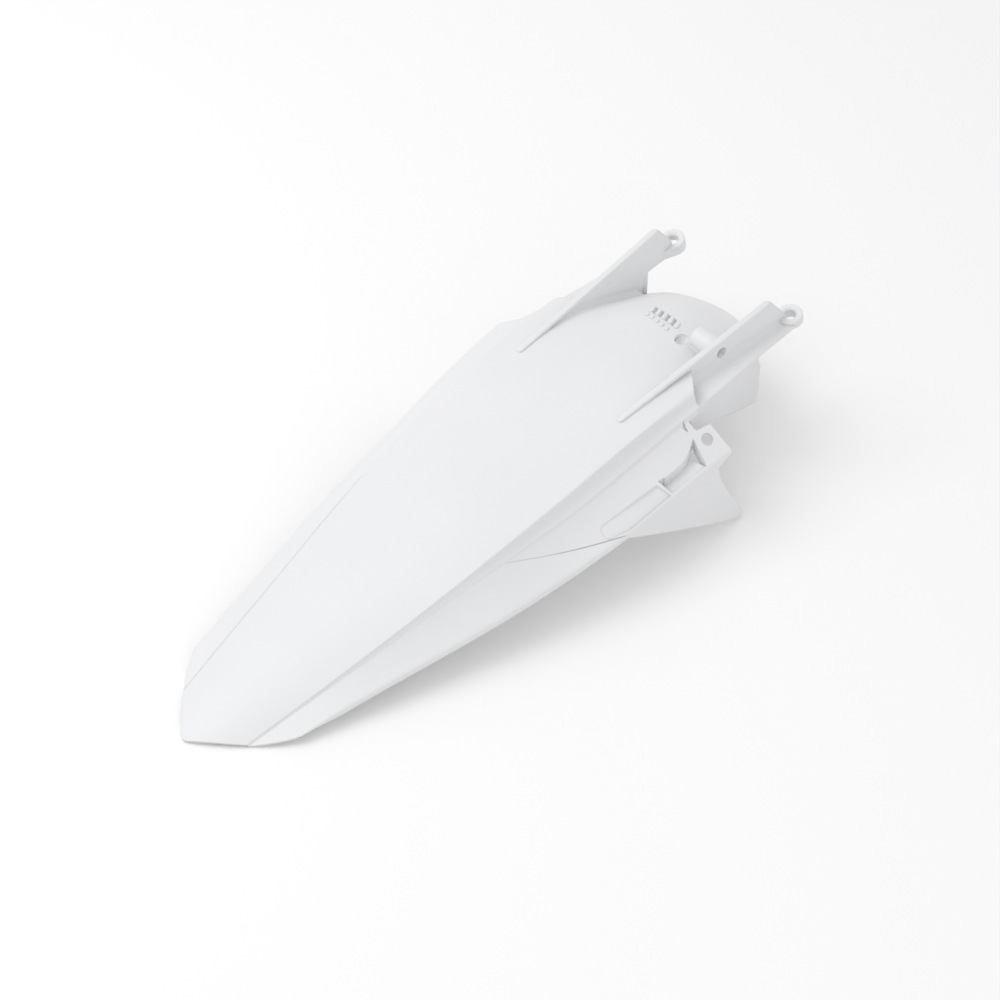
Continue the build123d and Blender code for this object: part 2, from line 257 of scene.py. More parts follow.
# Shell: crowned top, ridges, flanks, wings and the hood between the arms
shellSizes = {
    "wall": 3.0,
    # x, ridge half, ridge height, crown, ledge reach, ledge drop, ledge step, shoulder half, its height
    "sections": [
        (-12.0, 38.0, -10.0, 10.0, 0.9, 1.5, 0.3, 58.0, -15.0),
        (94.0, 55.0, 20.5, 10.0, 1.1, 2.2, 0.3, 79.5, 13.5),
        (200.0, 71.0, 52.0, 9.0, 2.0, 5.0, 0.8, 102.0, 30.5),
        (312.0, 85.5, 86.0, 7.5, 5.0, 10.7, 1.6, 124.0, 46.0),
        (400.0, 92.0, 108.0, 6.0, 8.0, 16.8, 2.8, 136.5, 61.0),
        (450.0, 94.3, 120.0, 5.0, 9.0, 17.6, 3.2, 142.5, 72.0),
        (505.0, 96.0, 131.0, 4.0, 9.0, 16.8, 3.4, 146.0, 84.0),
        (545.0, 97.0, 136.5, 3.0, 8.8, 13.9, 3.3, 147.5, 91.0),
        (575.0, 97.2, 139.5, 2.5, 8.6, 13.0, 3.2, 148.0, 95.0),
        (600.0, 97.2, 141.0, 2.5, 8.5, 12.5, 3.2, 148.5, 98.0),
    ],
    "stepLean": 0.1,
    "hollow": 0.17,
    "hem": (1.0, 5.0),  # at the tail corner, and along the flank
    "hemGrows": (78.0, 125.0),
    "sag": 1.6,
    "sagStarts": (110.0, 230.0),
    "sagEnds": (420.0, 500.0),
    "tail": [(0.0, 0.0), (41.0, 46.2), (74.0, 71.2), (85.5, 77.2), (96.0, 80.4), (112.0, 84.0)],
    "tailRound": 3.0,
    "tailSearch": (-11.0, 120.0),
    "railJoin": (300.0, 480.0),  # where the panel's edge moves over to the arms
    "splitX": 505.0,
    "wingTip": {right: 586.0, left: 553.0},
    "wingTipLift": (8.0, 4.0),  # length and rise of the rounded tip
    "wingFall": 0.43,
    "wingHalf": 158.0,
    "wingEdge": [(554.5, 87.0), (555.4, 77.0), (559.0, 63.7), (569.0, 42.4), (580.6, 21.9),
                 (585.5, 10.5), (586.0, 5.0)],
    "setBack": {right: 0.0, left: 33.0},
    "bandEnd": [(70.0, 594.0), (97.0, 570.0), (106.0, 569.0)],
    "tabInner": {right: (120.0, 570.0), left: (120.0, 548.0)},
    "tabFront": {right: 573.0, left: 540.0},
    "tabHalf": 147.0,
    "tabBlend": 5.0,
    "sideSearch": (2.0, 94.0),  # measured from the split
    # x, crest, side half, side height, foot half, foot height
    "hood": [
        (545.0, 139.5, 71.0, 136.0, 72.0, 100.0),
        (580.0, 141.0, 73.0, 133.0, 74.5, 75.0),
        (630.0, 138.0, 74.6, 112.0, 77.0, 50.0),
        (684.0, 118.0, 76.6, 88.5, 78.0, 38.0),
        (714.0, 96.0, 77.0, 75.0, 78.0, 34.0),
        (730.0, 84.0, 77.0, 68.0, 78.0, 32.0),
    ],
    "hoodLeadX": (400.0, 450.0),
    "hoodLeadLeg": 20.0,
    "hoodFront": [(0.0, 727.0), (42.0, 711.0), (80.0, 691.0)],
    "hoodSearch": (0.0, 223.0),  # measured from the split
    "rearRows": 104,
    "frontRows": 22,
    "hoodRows": 46,
    "crownLines": 35,
    "legLines": 8,
    "pathPoints": 161,
}
# Bends of the side profile. A pair is the sharp value, and what the soft front end adds to it
bendSizes = {
    "softens": (515.0, 565.0),
    "ridgeInset": (4.0, 9.0),
    "ridge": (2.2, 4.8),
    "dipStart": (0.2, 0.45),
    "dipEnd": 0.8,
    "ledge": 0.8,
    "foot": 0.7,
    "shoulder": 2.6,
}
profileLines = {"band": 7, "ridge": 6, "dip": 5, "ledge": 3, "foot": 3, "flank": 11, "shoulder": 5,
                "skirt": 11}
lineCount = sum(profileLines.values())
flankCount = lineCount - profileLines["skirt"] - profileLines["shoulder"] // 2  # lines above the wing
# The rib wall that carries each arm, in side view (x, z) from its plan start (x, half)
armSizes = {
    "start": (500.0, 68.0),
    "toe": 2.2,
    "wall": 3.2,
    "top": [(497.0, 132.2), (696.5, 168.8)],
    "front": [(713.5, 148.0), (722.0, 136.0), (724.0, 121.0)],
    "under": [(679.0, 118.5), (675.0, 84.0), (640.0, 96.0), (560.0, 112.0), (497.0, 124.0)],
    "corners": [0, 5, 6, 5, 2, 4, 3, 8, 0, 0],
    "soft": 0.5,
}

sectionXs = [s[0] for s in shellSizes["sections"]]
sectionCurve = naturalSpline(sectionXs, [s[1:] for s in shellSizes["sections"]])
tailCurve = pathThrough(shellSizes["tail"], shellSizes["pathPoints"])


def tailAt(half):
    radius = shellSizes["tailRound"]
    blunt = math.sqrt(half**2 + radius**2) - radius
    return float(np.interp(blunt, tailCurve[:, 1], tailCurve[:, 0]))


def armHalf(x):
    startX, startHalf = armSizes["start"]
    return startHalf + (x - startX) * math.tan(math.radians(armSizes["toe"]))


def railHalf(x):
    return armHalf(x) + armSizes["wall"] / 2


def arcHeight(half, crest, sideHalf, sideZ):
    rise = crest - sideZ
    radius = (sideHalf**2 + rise**2) / (2 * rise)
    return crest - radius + math.sqrt(radius**2 - half**2)


def topWidth(x):
    begin, end = shellSizes["railJoin"]
    if x >= end:
        return railHalf(x)
    ratio = railHalf(end) / sectionCurve(end)[0]
    near = np.clip((x - begin) / (end - begin), 0, 1)
    return railHalf(x) * near + (1 - near) * ratio * sectionCurve(x)[0]


def topHeight(x, half):
    ridgeHalf, ridgeZ, crown = sectionCurve(x)[:3]
    return arcHeight(half, ridgeZ + crown, ridgeHalf, ridgeZ)


def hemHeight(x, side):
    thin, full = shellSizes["hem"]
    depth = thin + (full - thin) * ease(x, *shellSizes["hemGrows"])
    tip = shellSizes["wingTip"][side]
    reach, rise = shellSizes["wingTipLift"]
    over = max(0.0, x - (tip - reach)) / reach
    return min(sectionCurve(x)[7] - depth, (tip - x) * shellSizes["wingFall"]) + rise * over**2


def flankSag(x):
    return shellSizes["sag"] * ease(x, *shellSizes["sagStarts"]) * (1 - ease(x, *shellSizes["sagEnds"]))


def ledgePoints(x):
    ridgeHalf, ridgeZ, crown, reach, drop, step = sectionCurve(x)[:6]
    ridge = np.array([ridgeHalf, ridgeZ])
    ledge = ridge + [reach, -drop]
    return ridge, ledge, ledge + [shellSizes["stepLean"] * step, -step]


def flankProfile(x, side):
    ridge, ledge, foot = ledgePoints(x)
    shoulder = sectionCurve(x)[6:8]
    tipHalf, tipZ = sectionCurve(shellSizes["wingTip"][side])[6:8]
    lean = (shellSizes["wingHalf"] - tipHalf) / tipZ
    hem = shoulder + (shoulder[1] - hemHeight(x, side)) * np.array([lean, -1.0])
    hollow = shellSizes["hollow"] * np.linalg.norm(ledge - ridge)
    soft = ease(x, *bendSizes["softens"])  # the ridge rounds off towards the band's front end
    inset, reach, dipStart = (bendSizes[key] for key in ("ridgeInset", "ridge", "dipStart"))
    inward = ridge[0] - inset[0] - inset[1] * soft
    dipStart = dipStart[0] + dipStart[1] * soft
    dip = [sagging(ridge, ledge, hollow, t)
           for t in np.linspace(dipStart, bendSizes["dipEnd"], profileLines["dip"])]
    ridgeBend = roundCorner((inward, topHeight(x, inward)), ridge, dip[0], reach[0] + reach[1] * soft,
                            profileLines["ridge"])
    ledgeBend = roundCorner(dip[-1], ledge, foot, bendSizes["ledge"], profileLines["ledge"])
    footBend = roundCorner(ledge, foot, shoulder, bendSizes["foot"], profileLines["foot"])
    shoulderBend = roundCorner(foot, shoulder, hem, bendSizes["shoulder"], profileLines["shoulder"])
    band = [(half, topHeight(x, half))
            for half in np.linspace(topWidth(x), ridgeBend[0][0], profileLines["band"] + 1)[:-1]]
    flank = [sagging(footBend[-1], shoulderBend[0], flankSag(x), t)
             for t in np.linspace(0, 1, profileLines["flank"] + 2)[1:-1]]
    skirt = [shoulderBend[-1] + (hem - shoulderBend[-1]) * t
             for t in np.linspace(0, 1, profileLines["skirt"] + 1)[1:]]
    return np.concatenate([band, ridgeBend, dip, ledgeBend, footBend, flank, shoulderBend, skirt])


planFront = {}
wingFront = {}
for side in (right, left):
    back = shellSizes["setBack"][side]
    tabPlaces = [shellSizes["tabInner"][side], (shellSizes["tabHalf"], shellSizes["tabFront"][side])]
    planFront[side] = np.array(shellSizes["bandEnd"] + tabPlaces)
    edge = pathThrough([(x - back, z) for x, z in shellSizes["wingEdge"]], 60)
    edge[0, 1] -= shellSizes["wingFall"] * back / 2
    wingFront[side] = edge[::-1]


def frontAt(half, z, below, side):
    if not below:
        return float(np.interp(half, planFront[side][:, 0], planFront[side][:, 1]))
    edge = wingFront[side]
    topX, topZ = edge[-1]
    if z <= topZ:
        return float(np.interp(z, edge[:, 1], edge[:, 0]))
    share = np.clip((z - topZ) / shellSizes["tabBlend"], 0, 1)
    return topX + (shellSizes["tabFront"][side] - topX) * share


profileXs = np.arange(sectionXs[0], sectionXs[-1] + 1.0, 1.0)
profileTable = {side: np.array([flankProfile(x, side) for x in profileXs]) for side in (right, left)}


def linePlace(index, side, x):
    table = profileTable[side][:, index]
    return np.interp(x, profileXs, table[:, 0]), np.interp(x, profileXs, table[:, 1])


def sideColumn(index, side, xs):
    halves, heights = linePlace(index, side, xs)
    return np.stack([xs, side * halves, heights], axis=1)


def spread(begin, end, count):
    return begin + np.linspace(0, 1, count) * (end - begin)


def sideColumns(side):
    split = shellSizes["splitX"]
    low, high = shellSizes["sideSearch"]
    rear, ahead = [], []
    for index in range(lineCount):
        begin = solveAlong(*shellSizes["tailSearch"], lambda x: x - tailAt(linePlace(index, side, x)[0]))
        end = solveAlong(split + low, split + high,
                         lambda x: x - frontAt(*linePlace(index, side, x), index >= flankCount, side))
        rear.append(sideColumn(index, side, spread(begin, split, shellSizes["rearRows"])))
        ahead.append(sideColumn(index, side, spread(split, end, shellSizes["frontRows"])))
    return rear, ahead


def crownColumn(share):
    begin = solveAlong(*shellSizes["tailSearch"], lambda x: x - tailAt(share * topWidth(x)))
    xs = spread(begin, shellSizes["splitX"], shellSizes["rearRows"])
    return [(x, share * topWidth(x), topHeight(x, share * topWidth(x))) for x in xs]


def hoodRows():
    rows = []
    for x in (*shellSizes["hoodLeadX"], shellSizes["splitX"]):
        ridgeZ, crown = sectionCurve(x)[1:3]
        wide = topWidth(x)
        sideZ = topHeight(x, wide)
        rows.append((x, ridgeZ + crown, wide, sideZ, wide, sideZ - shellSizes["hoodLeadLeg"]))
    return rows + shellSizes["hood"]


hoodCurve = naturalSpline([r[0] for r in hoodRows()], [r[1:] for r in hoodRows()])
hoodRight = [(-half, x) for half, x in shellSizes["hoodFront"][:0:-1]]
hoodNose = pathThrough(hoodRight + shellSizes["hoodFront"], shellSizes["pathPoints"])


def hoodHeight(x, half):
    crest, sideHalf, sideZ = hoodCurve(x)[:3]
    return arcHeight(half, crest, sideHalf, sideZ)


# Shares from 1 to -1 cross the arch, and those beyond run down the legs
def hoodPlace(x, share):
    crest, half, sideZ, footHalf, footZ = hoodCurve(x)
    if abs(share) <= 1:
        return share * half, arcHeight(share * half, crest, half, sideZ)
    down = abs(share) - 1
    return math.copysign(half + (footHalf - half) * down, share), sideZ + (footZ - sideZ) * down


def hoodColumn(share):
    split = shellSizes["splitX"]
    low, high = shellSizes["hoodSearch"]
    end = solveAlong(split + low, split + high,
                     lambda x: x - np.interp(hoodPlace(x, share)[0], hoodNose[:, 0], hoodNose[:, 1]))
    return [(x, *hoodPlace(x, share)) for x in spread(split, end, shellSizes["hoodRows"])]


def makeShell():
    leftRear, leftFront = sideColumns(left)
    rightRear, rightFront = sideColumns(right)
    shares = list(np.linspace(1, -1, shellSizes["crownLines"] + 2)[1:-1])
    legs = np.linspace(0, 1, shellSizes["legLines"] + 1)[1:]
    hoodShares = list(1 + legs[::-1]) + [1.0] + shares + [-1.0] + list(-1 - legs)
    patches = {
        "shell": leftRear[::-1] + [crownColumn(share) for share in shares] + rightRear,
        "leftSide": leftFront[::-1],
        "rightSide": rightFront,
        "hood": [hoodColumn(share) for share in hoodShares],
    }
    parts = [gridPiece(name, np.swapaxes(np.array(columns), 0, 1))
             for name, columns in patches.items()]
    shell = parts[0]
    makeActive(shell)
    for part in parts[1:]:
        part.select_set(True)
    bpy.ops.object.join()
    cleanUp(shell, outward=False)
    finishWith(shell, "SOLIDIFY", thickness=shellSizes["wall"] / 1000.0, offset=-1.0, use_even_offset=True,
               use_rim=True, use_quality_normals=True)
    return shell


shell = makeShell()
print("shell", len(shell.data.polygons))


# Arms: the rib wall with its bead, the shelf and cove outside it, the bolt eye and the web below
def armPlace(x, out, z, side):
    turn = math.radians(armSizes["toe"])
    startX, startHalf = armSizes["start"]
    along = x - startX
    return (startX + along * math.cos(turn) - out * math.sin(turn),
            side * (startHalf + along * math.sin(turn) + out * math.cos(turn)), z)


def makeRib(name, side):
    turn = math.radians(armSizes["toe"])
    outline = armSizes["top"] + armSizes["front"] + armSizes["under"]
    outline = roundedOutline(outline, armSizes["corners"], 6)
    push = (-armSizes["wall"] * math.sin(turn), side * armSizes["wall"] * math.cos(turn), 0)
    rib = platePiece(name, [armPlace(x, 0, z, side) for x, z in outline], push)
    return softenEdges(rib, armSizes["soft"], 2)


beadSizes = {"top": [(495.5, 133.7), (695.0, 168.7)], "width": 6.8, "depth": 4.6, "lead": 2.5,
             "corner": 1.5, "soft": 1.2}


def makeBead(side):
    (x0, z0), (x1, z1) = beadSizes["top"]
    wide, corner = beadSizes["width"] / 2, beadSizes["corner"]
    middle = armSizes["wall"] / 2
    around = [(x0 + wide - beadSizes["lead"] - wide * math.sin(a), middle + wide * math.cos(a))
              for a in np.linspace(0, math.pi, 13)]
    around += [(x1 - corner, middle - wide), (x1, middle - wide + corner),
               (x1, middle + wide - corner), (x1 - corner, middle + wide)]
    slope = (z1 - z0) / (x1 - x0)
    outline = [armPlace(x, out, z0 + (x - x0) * slope, side) for x, out in around]
    return softenEdges(platePiece("bead", outline, (0, 0, -beadSizes["depth"])), beadSizes["soft"], 3)


shelfSizes = {
    "edge": [(540.0, 104.0), (602.0, 102.0), (662.0, 97.0), (721.0, 94.0), (727.0, 93.6)],
    "rows": [(540.0, 700.0, 41), (703.0, 727.0, 9)],
    "height": (122.5, 131.5),
    "wall": 3.2,
    "cove": 8.0,
    "coveXs": (540.0, 548.0, 700.0, 722.0),
    "coveShares": (0.6, 1.0, 1.0, 0.15),
    "lap": 0.3,
    "bite": 1.2,
    "lip": [(6.0, 0.0), (1.2, 0.0), (0.4, 0.35), (0.0, 1.2)],
    "chamfer": 0.8,
    "underRun": 10.0,
}


def makeShelf(side):
    start, end = shelfSizes["edge"][0][0], shelfSizes["edge"][-1][0]
    low, high = shelfSizes["height"]
    bite, chamfer = shelfSizes["bite"], shelfSizes["chamfer"]
    edge = pathThrough(shelfSizes["edge"], 80)
    rings = []
    for x in np.concatenate([np.linspace(*run) for run in shelfSizes["rows"]]):
        z = low + (x - start) * (high - low) / (end - start)
        cove = shelfSizes["cove"] * float(np.interp(x, shelfSizes["coveXs"], shelfSizes["coveShares"]))
        wallHalf = armHalf(x) + armSizes["wall"] - shelfSizes["lap"]
        tip = float(np.interp(x, edge[:, 0], edge[:, 1]))
        bottom = z - shelfSizes["wall"]
        section = [(wallHalf - bite, z + cove)]
        section += [(wallHalf + cove * (1 - math.cos(a)), z + cove * (1 - math.sin(a)))
                    for a in np.linspace(0, math.pi / 2, 8)]
        section += [(tip - inward, z - down) for inward, down in shelfSizes["lip"]]
        section += [(tip, bottom + chamfer), (tip - chamfer, bottom),
                    (wallHalf + shelfSizes["underRun"], bottom), (wallHalf - bite, bottom)]
        rings.append([(x, side * half, height) for half, height in section])
    return tubePiece("shelf", rings)


# Small cove along the arm's foot. For reach and rise: the least, and what full size adds
footSizes = {"run": (524.0, 676.0), "grows": (524.0, 575.0), "fades": (666.0, 676.0), "fade": 0.6,
             "reach": (0.6, 6.5), "rise": (0.2, 3.0), "lap": 0.1, "bite": 1.5, "ribRoot": 1.8,
             "hoodRoot": 2.0}


def makeFoot(side):
    rings = []
    for x in np.linspace(*footSizes["run"], 51):
        inner = armHalf(x)
        size = ease(x, *footSizes["grows"]) * (1 - footSizes["fade"] * ease(x, *footSizes["fades"]))
        reach = footSizes["reach"][0] + footSizes["reach"][1] * size
        foot = hoodHeight(x, inner - reach) - footSizes["lap"]
        top = foot + footSizes["rise"][0] + footSizes["rise"][1] * size
        section = [(inner - reach * (1 - math.sin(a)), foot + (top - foot) * (1 - math.cos(a)))
                   for a in np.linspace(0, math.pi / 2, 7)]
        section += [(inner + footSizes["bite"], top),
                    (inner + footSizes["bite"], hoodHeight(x, inner) - footSizes["ribRoot"]),
                    (inner - reach, foot - footSizes["hoodRoot"])]
        rings.append([(x, side * half, height) for half, height in section])
    return tubePiece("foot", rings)


# The lead widens the hole at its top, as (wider than the hole, higher than the rim)
eyeSizes = {"middle": (727.0, 81.4, 132.0), "outer": 13.0, "hole": 6.25, "height": 10.0, "tilt": 14.0,
            "core": 2.0, "corners": [0, 1.8, 1.2, 0], "drill": 40.0, "lead": [(-0.4, -2.2), (2.1, 0.3)]}


# Middle of the eye with its axis, the way ahead and the way across
def eyeFrame(side):
    x, half, z = eyeSizes["middle"]
    tilt = math.radians(eyeSizes["tilt"])
    return (np.array([x, side * half, z]), np.array([-math.sin(tilt), 0.0, math.cos(tilt)]),
            np.array([math.cos(tilt), 0.0, math.sin(tilt)]), np.array([0.0, 1.0, 0.0]))


def makeEye(side):
    middle, axis, ahead, across = eyeFrame(side)
    inner, outer, tall = eyeSizes["hole"] - eyeSizes["core"], eyeSizes["outer"], eyeSizes["height"] / 2
    corners = [(inner, tall), (outer, tall), (outer, -tall), (inner, -tall)]
    profile = roundedOutline(corners, eyeSizes["corners"], 6)
    rings = []
    for a in circle(64):
        out = ahead * math.cos(a) + across * math.sin(a)
        rings.append([middle + out * radius + axis * height for radius, height in profile])
    eye = gridPiece("eye", np.array(rings + rings[:1]))
    cleanUp(eye, fill=True)
    return eye


def cutEye(arm, side):
    middle, axis, ahead, across = eyeFrame(side)
    hole, tall = eyeSizes["hole"], eyeSizes["height"] / 2
    combine(arm, drill("eyeDrill", middle, axis, hole, eyeSizes["drill"]), "DIFFERENCE")
    steps = [(hole + wider, tall + higher) for wider, higher in eyeSizes["lead"]]
    combine(arm, turnedTool("eyeLead", middle, axis, ahead, across, steps), "DIFFERENCE")


# The cheek carries the eye into the rib, as (x, half) in the plane of the eye
cheekSizes = {
    "edge": [(698.0, 76.2), (706.0, 75.2), (713.0, 72.8), (718.5, 70.6)],
    "sweep": (-118.0, -38.0),
    "inset": 0.1,
    "back": [(734.0, eyeSizes["middle"][1]), eyeSizes["middle"][:2], (715.0, 79.0), (698.0, 79.0)],
    "lowXs": (-29.0, -5.0),
    "low": (-4.6, -8.4),
    "belowRim": 0.3,
    "soft": 0.8,
}


def makeCheek(side):
    middle, axis, ahead, across = eyeFrame(side)
    eyeX, eyeHalf = eyeSizes["middle"][:2]
    radius = eyeSizes["outer"] - cheekSizes["inset"]
    arc = [(eyeX + radius * math.cos(a), eyeHalf + radius * math.sin(a))
           for a in np.radians(np.linspace(*cheekSizes["sweep"], 10))]
    lowRing, highRing = [], []
    for x, half in cheekSizes["edge"] + arc + cheekSizes["back"]:
        spot = middle + ahead * (x - eyeX) + across * side * (half - eyeHalf)
        lowRing.append(spot + axis * float(np.interp(x - eyeX, cheekSizes["lowXs"], cheekSizes["low"])))
        highRing.append(spot + axis * (eyeSizes["height"] / 2 - cheekSizes["belowRim"]))
    return softenEdges(tubePiece("cheek", [lowRing, highRing]), cheekSizes["soft"], 3)


webSizes = {"front": (686.5, 77.5, 38.2), "rear": (556.0, 106.3, 103.0), "wall": 2.8, "soft": 0.7}


def makeWeb(side):
    frontX, frontHalf, frontZ = webSizes["front"]
    rearX, rearHalf, rearZ = webSizes["rear"]
    low, high = shelfSizes["height"]
    along = np.array([rearX - frontX, side * (rearHalf - frontHalf), 0.0])
    normal = np.array([along[1], -along[0], 0.0]) / np.linalg.norm(along)
    corners = [(frontX, side * frontHalf, frontZ), (rearX, side * rearHalf, rearZ),
               (rearX, side * rearHalf, low - shelfSizes["wall"] / 2),
               (frontX, side * frontHalf, high - shelfSizes["wall"])]
    half = normal * webSizes["wall"] / 2
    web = platePiece("web", [np.array(c) - half for c in corners], normal * webSizes["wall"])
    return softenEdges(web, webSizes["soft"], 2)


dimpleSizes = {"place": (624.3, 140.0), "radii": (3.2, 1.1, 3.2)}


def makeArm(side):
    name = "rightArm" if side == right else "leftArm"
    arm = makeRib(name, side)
    for makePart in (makeBead, makeShelf, makeFoot, makeEye, makeCheek, makeWeb):
        combine(arm, makePart(side), "UNION")
    cutEye(arm, side)
    if side == left:
        x, z = dimpleSizes["place"]
        combine(arm, roundTool("dimple", (x, armHalf(x), z), dimpleSizes["radii"]), "DIFFERENCE")
    print(name, len(arm.data.polygons))
    return arm


# Seat-bolt boss on the right arm, standing on the hood
bossSizes = {
    "x": 631.0,
    "z": 139.0,
    "outer": 11.0,
    "wrap": 0.35,
    "inner": 42.0,
    # depth from the inner end, share of the radius
    "rim": [(0.0, 0.86), (0.25, 0.94), (0.8, 0.985), (1.6, 1.0)],
    "barrelStart": 48.0,
    "barrelRows": 10,
    "waist": 3.5,
    "skirtStart": 0.2,
    "skirtRows": 5,
    "sink": 2.4,
    "flare": 1.5,
    "hole": 4.5,
    "boreMiddle": 63.0,
    "boreLength": 42.0,
    "seat": 6.4,
    "seatDepth": 3.6,
    "seatLap": 0.2,
    "seatRim": 0.1,
    "seatClear": 6.0,
}


def makeBoss():
    x, z, radius = bossSizes["x"], bossSizes["z"], bossSizes["outer"]
    waist = bossSizes["waist"]
    angles = np.linspace(-bossSizes["wrap"], math.pi + bossSizes["wrap"], 33)
    barrel = np.linspace(bossSizes["barrelStart"], railHalf(x), bossSizes["barrelRows"])
    stations = [(bossSizes["inner"] + depth, share) for depth, share in bossSizes["rim"]]
    stations += [(half, 1.0) for half in barrel]
    drops = np.linspace(bossSizes["skirtStart"], 1, bossSizes["skirtRows"])
    flares = bossSizes["flare"] * np.linspace(0, 1, bossSizes["skirtRows"]) ** 2
    rings = []
    for half, share in stations:
        low = hoodHeight(x, half) - bossSizes["sink"]
        ring = [(x + math.cos(a) * radius * share, -half, z + math.sin(a) * radius * share)
                for a in angles]
        rear, front = ([(x + way * radius * share + way * flare, -half, z - waist + (low - z + waist) * t)
                        for t, flare in zip(drops, flares)] for way in (-1, 1))
        rings.append(ring + rear + front[::-1])
    boss = tubePiece("boss", rings)
    print("boss", len(boss.data.polygons))
    return boss


def cutBoss(shell):
    x, z = bossSizes["x"], bossSizes["z"]
    middle = (x, -bossSizes["boreMiddle"], z)
    bore = drill("bossBore", middle, (0, 1, 0), bossSizes["hole"], bossSizes["boreLength"])
    combine(shell, bore, "DIFFERENCE")
    face = railHalf(x) + armSizes["wall"] / 2
    steps = [(bossSizes["hole"] - bossSizes["seatLap"], face - bossSizes["seatDepth"]),
             (bossSizes["seat"], face + bossSizes["seatRim"]),
             (bossSizes["seat"], face + bossSizes["seatClear"])]
    outward, ahead, up = np.array([0, -1, 0]), np.array([1, 0, 0]), np.array([0, 0, 1])
    seat = turnedTool("bossSeat", np.array([x, 0, z]), outward, ahead, up, steps)
    combine(shell, seat, "DIFFERENCE")


# Vents on the hood crest, with raised lips between the slots and small nubs behind them
ventSizes = {
    "x": 631.4,
    "y": 1.2,
    "count": 4,
    "pitch": 8.5,
    "slant": 24.0,
    "length": 12.5,
    "width": 3.2,
    "slotFloor": -1.3,
    "slotCorner": 1.3,
    "throughLess": (2.4, 2.3),
    "throughCorner": 0.4,
    "clear": 14.0,
    "lipLess": 0.5,
    "lipWidth": 4.5,
    "lipSpan": (-2.2, 1.7),
    "lipCorner": 2.2,
    "lipSoft": 1.3,
    "nubs": 5,
    "nubStart": (620.4, 15.0),
    "nubEnd": (618.4, -13.8),
    "nubSize": (6.4, 3.8),
    "nubSpan": (-1.5, 1.4),
    "nubCorner": 1.5,
    "nubSoft": 0.9,
    "slopeReach": 5.0,
}
# The closed bowl beside the boss, and the pad that backs it under the hood
bowlSizes = {"place": (621.0, 33.0), "radii": (9.2, 6.8, 7.8), "lift": 1.0, "padRadii": (11.5, 8.8, 5.2),
             "padDrop": 5.9}


def slantBar(x, y, length, width, low, high, corner):
    turn = math.radians(ventSizes["slant"])
    reach = ventSizes["slopeReach"]
    fall = (hoodHeight(x + reach, y) - hoodHeight(x - reach, y)) / (2 * reach)
    half, wide = length / 2, width / 2
    corners = [(-half, -wide), (half, -wide), (half, wide), (-half, wide)]
    points = []
    for u, v in roundedOutline(corners, [corner] * 4, 4):
        along = u * math.cos(turn) - v * math.sin(turn)
        points.append((x + along, y + u * math.sin(turn) + v * math.cos(turn),
                       hoodHeight(x, y) + fall * along + low))
    return platePiece("slantBar", points, (0, 0, high - low))


def ventBar(index, count, *sizes):
    y = ventSizes["y"] + (index - (count - 1) / 2) * ventSizes["pitch"]
    return slantBar(ventSizes["x"], y, *sizes)


def cutHood(shell):
    count, length, width, clear = (ventSizes[key] for key in ("count", "length", "width", "clear"))
    for i in range(count + 1):
        lip = ventBar(i, count + 1, length - ventSizes["lipLess"], ventSizes["lipWidth"],
                      *ventSizes["lipSpan"], ventSizes["lipCorner"])
        combine(shell, softenEdges(lip, ventSizes["lipSoft"], 4), "UNION")
    shorter, narrower = ventSizes["throughLess"]
    for i in range(count):
        through = ventBar(i, count, length - shorter, width - narrower, -clear, clear,
                          ventSizes["throughCorner"])
        combine(shell, through, "DIFFERENCE")
        slot = ventBar(i, count, length, width, ventSizes["slotFloor"], clear, ventSizes["slotCorner"])
        combine(shell, slot, "DIFFERENCE")
    for t in np.linspace(0, 1, ventSizes["nubs"]):
        x, y = (1 - t) * np.array(ventSizes["nubStart"]) + t * np.array(ventSizes["nubEnd"])
        nub = slantBar(x, y, *ventSizes["nubSize"], *ventSizes["nubSpan"], ventSizes["nubCorner"])
        combine(shell, softenEdges(nub, ventSizes["nubSoft"], 3), "UNION")
    x, half = bowlSizes["place"]
    top = hoodHeight(x, half)
    pad = roundTool("bowlPad", (x, -half, top - bowlSizes["padDrop"]), bowlSizes["padRadii"])
    combine(shell, pad, "UNION")
    bowl = roundTool("bowl", (x, -half, top + bowlSizes["lift"]), bowlSizes["radii"])
    combine(shell, bowl, "DIFFERENCE")


# Right flank: sunk pocket, gaps beside the tab, ramp, notch and bolt hole, as (x, half) in plan
flankSizes = {
    "pocket": [(492.0, 128.8), (524.0, 130.0), (534.0, 126.7), (546.0, 120.5), (541.5, 144.0),
               (496.0, 142.3)],
    "pocketCorners": [2, 8, 7, 1, 1, 1.5],
    "pocketDepth": 9.0,
    "pocketRise": 0.45,
    "pocketWall": 2.6,
    "wallTop": -1.0,
    "pocketClear": 40.0,
    "gaps": [
        [(545.5, 121.0), (537.0, 125.5), (541.5, 144.0)],
        [(547.5, 105.5), (542.5, 109.0), (545.5, 114.5)],
        [(491.0, 127.0), (498.5, 128.0), (498.0, 141.0)],
    ],
    "gapClear": 6.0,
    "ramp": [(418.5, 121.0), (488.5, 128.5), (494.0, 142.8), (441.5, 140.0), (416.0, 132.5)],
    "rampCorners": [3, 1, 1, 6, 6],
    "rampDepth": (0.5, 2.4),
    "rampClear": 30.0,
    "notch": [(552.4, 107.4), (572.3, 107.4), (580.3, 121.8), (552.9, 117.5)],
    "notchCorners": [0, 0, 0, 2.5],
    "notchSpan": (-14.0, 7.0),
    "tab": [(570.0, 120.0), (573.0, 128.5), (541.5, 144.0)],
    "hole": (558.0, 128.5),
    "holeRadius": 6.25,
    "holeDrill": 18.0,
}
